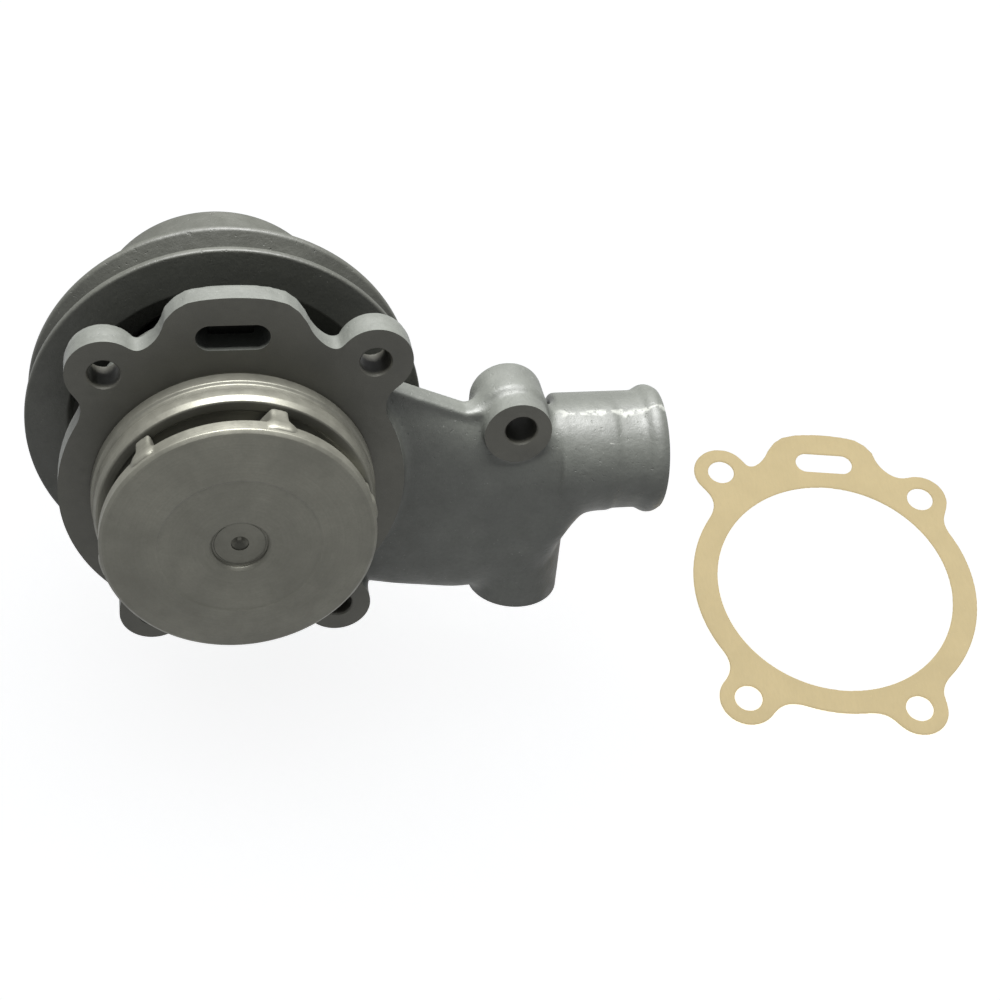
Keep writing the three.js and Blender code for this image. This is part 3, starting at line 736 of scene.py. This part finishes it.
def turned_metal(name, base, roughness=0.35, metallic=0.9, ring=0.6, depth=0.015):
    """Metal turned about the shaft: fine rings whose pitch is ring millimetres, over uneven tarnish."""
    look = Look(name, roughness, metallic)
    apart = look.node("ShaderNodeSeparateXYZ", {0: look.place})
    flat = look.node("ShaderNodeCombineXYZ", {0: apart.outputs[0], 1: 0.0, 2: apart.outputs[2]})
    radius = look.node("ShaderNodeVectorMath", {0: flat.outputs[0]}, operation="LENGTH").outputs["Value"]
    along = look.math("ADD", radius, look.math("MULTIPLY", apart.outputs[1], 0.8))
    row = look.node("ShaderNodeCombineXYZ", {0: along, 1: 0.0, 2: 0.0}).outputs[0]
    inputs = {"Vector": row, "Scale": 1000.0 / ring, "Detail": 3.0, "Roughness": 0.6}
    rings = look.node("ShaderNodeTexNoise", inputs).outputs["Fac"]
    tarnish = look.noise(22, 5, 0.6)
    colour = look.mix(look.ramp(tarnish, 0.3, 0.7), shade(base, 0.82), shade(base, 1.14))
    colour = look.mix(look.ramp(rings, 0.35, 0.65, 0, 0.25), colour, shade(base, 0.7))
    colour = look.mix(look.ramp(look.noise(0.9, 5, 0.7), 0.35, 0.7, 0, 0.3), colour, shade(base, 0.65))
    look.colour(colour)
    look.roughness(look.ramp(look.noise(6, 5, 0.65), 0.3, 0.7, roughness - 0.08, roughness + 0.1))
    look.bump(rings, depth)
    look.bump(look.noise(0.8, 5, 0.7), 0.02)
    return look.material


def soft_look(name, base, roughness, size, depth, spread=0.15):
    """Rubber, carbon, ceramic or felt: slightly mottled, with a fine relief."""
    look = Look(name, roughness)
    mottle = look.ramp(look.noise(size * 6, 4), 0.3, 0.7)
    colour = look.mix(mottle, shade(base, 1 - spread), shade(base, 1 + spread))
    colour = look.mix(look.ramp(look.noise(size, 4, 0.7), 0.35, 0.7, 0, 0.3), colour, shade(base, 0.7))
    look.colour(colour)
    look.roughness(look.ramp(look.noise(size * 2, 3), 0.3, 0.7, roughness - 0.06, roughness + 0.06))
    look.bump(look.noise(size, 5, 0.7), depth)
    return look.material


def paper_look(name, base):
    """Pressed fibre paper: long soft mottling, short fibres and a faint tooth."""
    look = Look(name, 0.78)
    colour = look.mix(look.ramp(look.noise(18, 3), 0.3, 0.7), shade(base, 0.95), shade(base, 1.03))
    fibres = look.noise(0.9, 3, 0.6, (1.0, 0.25, 0.25))
    colour = look.mix(look.ramp(fibres, 0.4, 0.75, 0, 0.3), colour, shade(base, 0.86))
    flecks = look.ramp(look.noise(1.6, 2, 0.5), 0.7, 0.76, 0, 0.4)
    colour = look.mix(flecks, colour, shade(base, 1.12))
    look.colour(colour)
    look.roughness(look.ramp(look.noise(2, 4), 0.3, 0.7, 0.7, 0.86))
    look.bump(look.noise(0.6, 5, 0.7), 0.05)
    return look.material


LOOKS = {
    "cast_grey_paint": painted_casting("cast_grey_paint", (0.062, 0.065, 0.058), (0.15, 0.153, 0.14), True),
    "pulley_paint": painted_casting("pulley_paint", (0.037, 0.038, 0.032), (0.11, 0.11, 0.095)),
    "machined_face": machined_face("machined_face", (0.06, 0.059, 0.049), (0.3, 1.0, 1.0)),
    "machined_iron": turned_metal("machined_iron", (0.135, 0.133, 0.111), 0.46, 0.65, 0.9, 0.02),
    "ground_steel": turned_metal("ground_steel", (0.45, 0.45, 0.43), 0.3, 0.95, 0.4),
    "bearing_steel": turned_metal("bearing_steel", (0.55, 0.55, 0.56), 0.18, 1.0, 0.3, 0.006),
    "plated_steel": turned_metal("plated_steel", (0.42, 0.42, 0.38), 0.34, 0.9, 0.5),
    "brass": turned_metal("brass", (0.55, 0.39, 0.14), 0.34, 0.95, 0.5),
    "rubber": soft_look("rubber", (0.022, 0.022, 0.022), 0.68, 0.6, 0.05),
    "carbon": soft_look("carbon", (0.035, 0.035, 0.036), 0.4, 0.4, 0.02),
    "ceramic": soft_look("ceramic", (0.78, 0.76, 0.70), 0.28, 0.8, 0.01, 0.04),
    "felt": soft_look("felt", (0.42, 0.37, 0.28), 0.9, 0.5, 0.25),
    "gasket_paper": paper_look("gasket_paper", (0.74, 0.6, 0.33)),
}


def give(thing, *looks):
    thing.data.materials.clear()
    for look in looks:
        thing.data.materials.append(LOOKS[look])


def mark_machined(casting):
    """Gives the faces left by the machining their own material: flange face, ear face and holes."""
    give(casting, "cast_grey_paint", "machined_face")
    count = len(casting.data.polygons)
    centres = np.empty(count * 3, np.float32)
    normals = np.empty(count * 3, np.float32)
    casting.data.polygons.foreach_get("center", centres)
    casting.data.polygons.foreach_get("normal", normals)
    x, y, z = centres.reshape(-1, 3).T / MM
    flat = normals.reshape(-1, 3)[:, 1] < -0.99
    flange = flat & (np.abs(y) < 0.05) & (x < 74)
    near_ear = np.hypot(x - EAR["x"], z - EAR["z"]) < EAR["radius"] + 1
    ear = flat & (np.abs(y - EAR["front"]) < 0.05) & near_ear
    holes = np.zeros(count, bool)
    for bolt_x, bolt_z, _ in BOLTS:
        holes |= (np.hypot(x - bolt_x, z - bolt_z) < BOLT_HOLE + 0.6) & (y < LUG_THICKNESS)
    holes |= np.hypot(x - EAR_HOLE["x"], z - EAR_HOLE["z"]) < EAR_HOLE["radius"] + 0.6
    casting.data.polygons.foreach_set("material_index", (flange | ear | holes).astype(np.int32))


def finish_piece(thing, body, slot, *nodes):
    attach(thing, body)
    if nodes:
        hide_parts(*nodes)


# ---------------------------------------------------------------- pieces
casting = make_casting()
mark_machined(casting)
finish_piece(casting, "housing", "cast_grey_paint", "pump_body")
spigot = make_spigot()
give(spigot, "machined_iron")
finish_piece(spigot, "housing", "machined_iron")
impeller = make_impeller()
give(impeller, "machined_iron")
finish_piece(impeller, "rotor", "machined_iron", "impeller")
shaft = make_shaft()
give(shaft, "machined_iron")
finish_piece(shaft, "rotor", "ground_steel", "drive_shaft")
pulley = make_pulley()
give(pulley, "pulley_paint")
finish_piece(pulley, "rotor", "pulley_paint", "pulley")
nut = make_nut()
give(nut, "plated_steel")
finish_piece(nut, "rotor", "plated_steel", "pulley_nut")
gasket = make_gasket()
give(gasket, "gasket_paper")
finish_piece(gasket, "housing", "gasket_paper", "mounting_gasket")

slots = {part["node"]: part["material_slot"] for part in frame["record"]["subparts"]}
for node_name, node in frame["nodes"].items():
    give(node, slots[node_name])
    smooth_shaded(node, 40)


# ---------------------------------------------------------------- floor and light
def make_floor():
    low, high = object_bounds()
    centre = (low + high) / 2
    half = 3.0
    corners = [(-half, -half), (half, -half), (half, half), (-half, half)]
    mesh = bpy.data.meshes.new("floor")
    mesh.from_pydata([(centre.x + x, centre.y + y, low.z - 0.001) for x, y in corners], [], [(0, 1, 2, 3)])
    floor = add_object("floor", mesh)
    look = Look("floor", 0.9)
    look.colour(look.mix(look.ramp(look.noise(400, 2), 0.3, 0.7), (0.84, 0.84, 0.84), (0.88, 0.88, 0.88)))
    look.shader.inputs["Emission Color"].default_value = (1, 1, 1, 1)
    look.shader.inputs["Emission Strength"].default_value = 0.74
    floor.data.materials.append(look.material)
    floor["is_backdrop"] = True
    return floor


def area_light(name, place, target, size, power):
    data = bpy.data.lights.new(name, "AREA")
    data.shape = "RECTANGLE"
    data.size, data.size_y = size
    data.energy = power
    lamp = bpy.data.objects.new(name, data)
    lamp.location = Vector(place)
    lamp.rotation_mode = "QUATERNION"
    lamp.rotation_quaternion = (Vector(target) - Vector(place)).to_track_quat("-Z", "Y")
    bpy.context.scene.collection.objects.link(lamp)
    return lamp


def light_only(lamp, state, *things):
    """Says which things a lamp lights ("INCLUDE"), or doesn't light ("EXCLUDE")."""
    linked = bpy.data.collections.new(f"{lamp.name}_{state.lower()}")
    for thing in things:
        linked.objects.link(thing)
    lamp.light_linking.receiver_collection = linked
    for member in linked.collection_objects:
        member.light_linking.link_state = state


def make_world():
    world = bpy.data.worlds.new("studio")
    world.use_nodes = True
    background = world.node_tree.nodes["Background"]
    background.inputs["Color"].default_value = (0.95, 0.97, 1.0, 1.0)
    background.inputs["Strength"].default_value = 0.35
    bpy.context.scene.world = world


floor = make_floor()
overhead = area_light("overhead", (0.05, 0.12, 1.2), (0.05, 0.0, 0.0), (1.0, 0.8), 92)
light_only(overhead, "EXCLUDE", floor, gasket)
paper_light = area_light("paper_light", (0.25, 0.0, 1.2), (0.25, 0.0, 0.0), (1.0, 0.8), 11)
light_only(paper_light, "INCLUDE", gasket)
make_world()
bpy.context.scene.view_settings.view_transform = "Standard"
bpy.context.scene.view_settings.look = "None"
